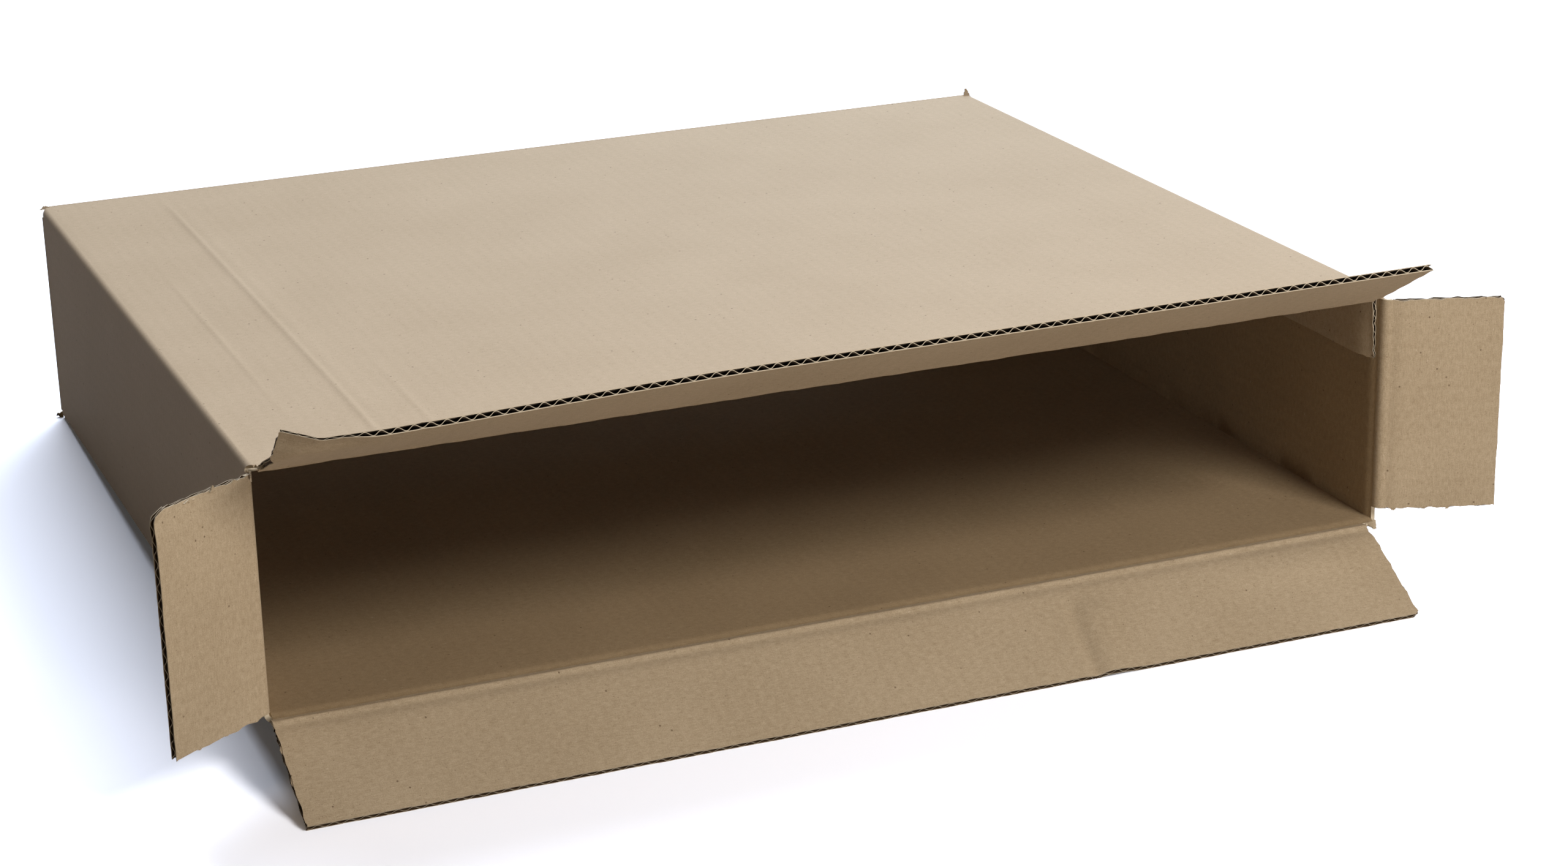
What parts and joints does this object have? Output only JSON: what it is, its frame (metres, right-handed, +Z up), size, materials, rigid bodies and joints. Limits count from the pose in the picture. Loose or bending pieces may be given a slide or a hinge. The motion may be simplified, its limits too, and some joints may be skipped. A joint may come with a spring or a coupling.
{
  "type": "folding shipping box",
  "caption": "Shallow corrugated shipping box on its wide side, far end glued shut, four mouth flaps that fold in and out",
  "frame": {"origin": "on the floor, under the middle of the box with its mouth flaps as they stand", "axes": "+X along the mouth, to the right for someone who looks into it; -Y is the way the mouth faces; +Z up. The box itself leans back 3.2 degrees about X, because its folded bottom flap props up the mouth"},
  "size_m": [0.609, 0.479, 0.1623],
  "materials": {
    "kraft_board": "uncoated brown kraft liner, matte, with fine fibres and faint flute lines"
  },
  "bodies": {
    "body": {"box_body": "kraft_board"},
    "top_flap": {"top_flap": "kraft_board"},
    "bottom_flap": {"bottom_flap": "kraft_board"},
    "left_flap": {"left_flap": "kraft_board"},
    "right_flap": {"right_flap": "kraft_board"}
  },
  "joints": [
    {"name": "top_flap_hinge", "type": "hinge", "parent": "body", "child": "top_flap", "pos_m": [-0.00242, -0.18568, 0.1334], "axis": [-1, 0, 0], "range_deg": [-120.7, 144.3]},
    {"name": "bottom_flap_hinge", "type": "hinge", "parent": "body", "child": "bottom_flap", "pos_m": [-0.00242, -0.19179, 0.02337], "axis": [1, 0, 0], "range_deg": [-120, 145]},
    {"name": "left_flap_hinge", "type": "hinge", "parent": "body", "child": "left_flap", "pos_m": [-0.26052, -0.18564, 0.07822], "axis": [0, -0.0555, -0.9985], "range_deg": [-147.9, 117.1]},
    {"name": "right_flap_hinge", "type": "hinge", "parent": "body", "child": "right_flap", "pos_m": [0.25568, -0.18564, 0.07822], "axis": [0, 0.0555, 0.9985], "range_deg": [-160, 105]}
  ]
}
